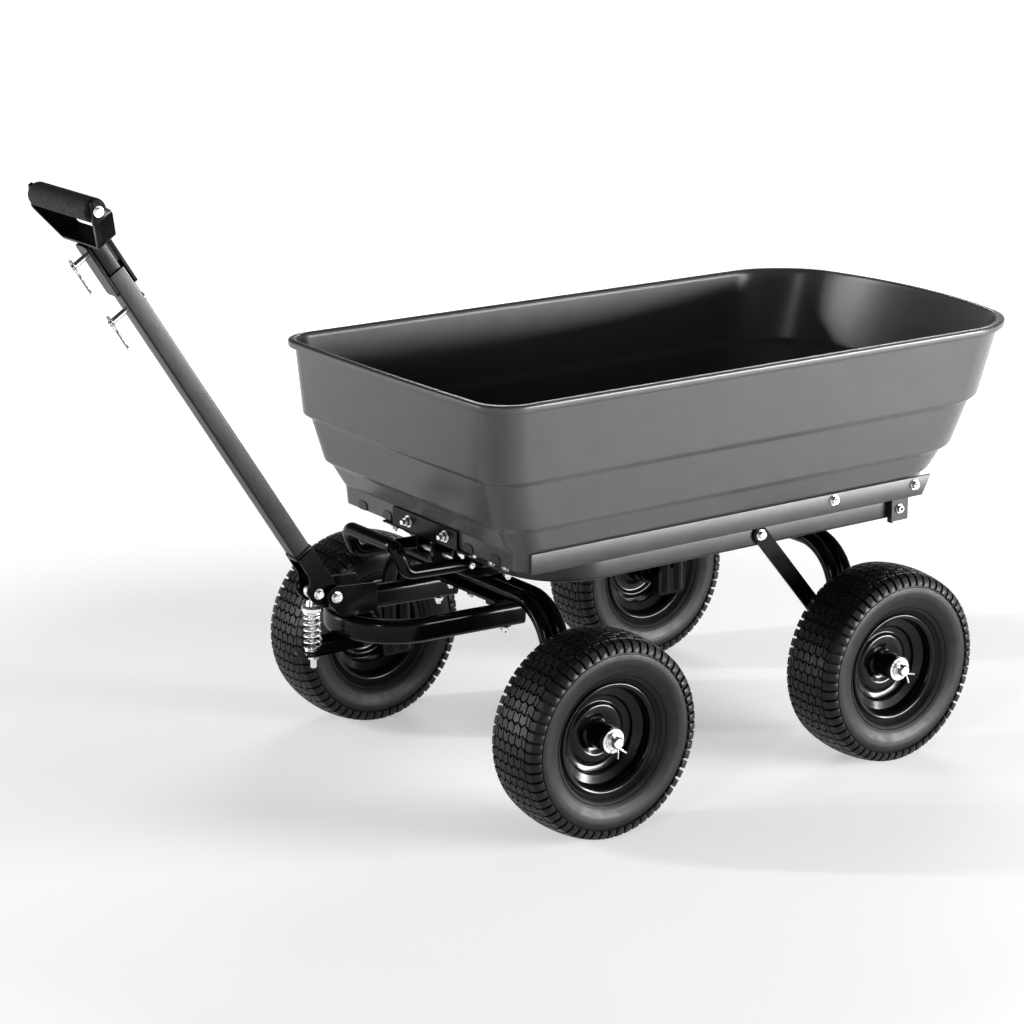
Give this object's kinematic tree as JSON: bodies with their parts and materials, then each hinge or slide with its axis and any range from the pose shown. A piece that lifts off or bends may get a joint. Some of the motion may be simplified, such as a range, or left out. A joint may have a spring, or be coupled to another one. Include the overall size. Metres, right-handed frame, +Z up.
{
  "type": "garden dump cart",
  "caption": "Garden dump cart: moulded tub tipping on a steel frame, arched axles with pneumatic turf tyres, steering yoke and sprung pull handle with a cross grip.",
  "frame": {"origin": "on the ground, halfway along the cart's whole length and halfway across it", "axes": "+X forward to the pull handle, +Y to the cart's left, +Z up"},
  "size_m": [1.68, 0.788, 1.0303],
  "materials": {
    "tub_plastic": "satin",
    "black_steel": "gloss enamel",
    "grey_steel": "satin enamel",
    "tyre_rubber": "matte",
    "rim_enamel": "gloss enamel",
    "zinc_steel": "zinc plated",
    "grip_foam": "matte foam",
    "nylon": "moulded"
  },
  "bodies": {
    "chassis": {"chassis_loop": "grey_steel", "front_cross_member": "black_steel", "rear_cross_member": "black_steel", "turntable_upper_plate": "black_steel", "rear_axle_arch": "black_steel", "brace_left": "black_steel", "brace_right": "black_steel", "hinge_bolt_left": "zinc_steel", "hinge_bolt_right": "zinc_steel", "spindle_rear_left": "zinc_steel", "spindle_rear_right": "zinc_steel"},
    "steering": {"front_axle_arch": "black_steel", "turntable_lower_plate": "black_steel", "turntable_bush": "nylon", "kingpin": "zinc_steel", "yoke_saddle_plate": "black_steel", "steering_yoke": "black_steel", "tongue_bracket": "black_steel", "handle_pivot_bolt": "zinc_steel", "spring_bracket": "black_steel", "return_spring": "zinc_steel", "spindle_front_left": "zinc_steel", "spindle_front_right": "zinc_steel"},
    "handle": {"handle_bracket": "black_steel", "trunnion_bolt": "zinc_steel", "handle_tube": "grey_steel", "tow_plate_front": "black_steel", "tow_plate_back": "black_steel", "grip_stem": "black_steel", "grip_strap": "black_steel", "grip_foam": "grip_foam", "grip_bolt": "zinc_steel", "hitch_pin_upper": "zinc_steel", "hitch_pin_lower": "zinc_steel", "r_clip_upper": "zinc_steel", "r_clip_lower": "zinc_steel"},
    "spring_rod": {"spring_rod": "zinc_steel", "spring_cap": "zinc_steel", "rod_nut": "zinc_steel"},
    "tub": {"tub": "tub_plastic", "tub_rail_left": "grey_steel", "tub_rail_right": "grey_steel", "tub_front_bracket": "black_steel"},
    "release": {"release_handle": "black_steel", "release_pivot_rod": "zinc_steel", "release_latch_cam": "black_steel"},
    "wheel_front_left": {"tyre_front_left": "tyre_rubber", "rim_front_left": "rim_enamel", "hub_bearing_front_left": "nylon"},
    "wheel_front_right": {"tyre_front_right": "tyre_rubber", "rim_front_right": "rim_enamel", "hub_bearing_front_right": "nylon"},
    "wheel_rear_left": {"tyre_rear_left": "tyre_rubber", "rim_rear_left": "rim_enamel", "hub_bearing_rear_left": "nylon"},
    "wheel_rear_right": {"tyre_rear_right": "tyre_rubber", "rim_rear_right": "rim_enamel", "hub_bearing_rear_right": "nylon"}
  },
  "joints": [
    {"name": "steer", "type": "hinge", "parent": "chassis", "child": "steering", "pos_m": [0.11094, 0, 0.365], "axis": [0, 0, 1], "range_deg": [-40, 40]},
    {"name": "handle_lower", "type": "hinge", "parent": "steering", "child": "handle", "pos_m": [0.40294, 0, 0.357], "axis": [0, 1, 0], "range_deg": [0, 45], "stiffness_Nm_per_rad": 20, "springref_deg": -34.38, "deforming": ["return_spring"]},
    {"name": "spring_rod_swing", "type": "hinge", "parent": "handle", "child": "spring_rod", "pos_m": [0.42844, 0, 0.3635], "axis": [0, 1, 0], "range_deg": [-45, 0]},
    {"name": "tub_dump", "type": "hinge", "parent": "chassis", "child": "tub", "pos_m": [-0.57006, 0, 0.392], "axis": [0, -1, 0], "range_deg": [0, 50]},
    {"name": "release_lift", "type": "hinge", "parent": "tub", "child": "release", "pos_m": [0.18694, 0, 0.384], "axis": [0, -1, 0], "range_deg": [0, 20]},
    {"name": "roll_front_left", "type": "hinge", "parent": "steering", "child": "wheel_front_left", "pos_m": [0.12544, 0.33, 0.165], "axis": [0, 1, 0], "continuous": true},
    {"name": "roll_front_right", "type": "hinge", "parent": "steering", "child": "wheel_front_right", "pos_m": [0.12544, -0.33, 0.165], "axis": [0, 1, 0], "continuous": true},
    {"name": "roll_rear_left", "type": "hinge", "parent": "chassis", "child": "wheel_rear_left", "pos_m": [-0.46356, 0.33, 0.165], "axis": [0, 1, 0], "continuous": true},
    {"name": "roll_rear_right", "type": "hinge", "parent": "chassis", "child": "wheel_rear_right", "pos_m": [-0.46356, -0.33, 0.165], "axis": [0, 1, 0], "continuous": true}
  ],
  "couplings": [
    {"joint": "spring_rod_swing", "follows": "handle_lower", "ratio": -1}
  ]
}
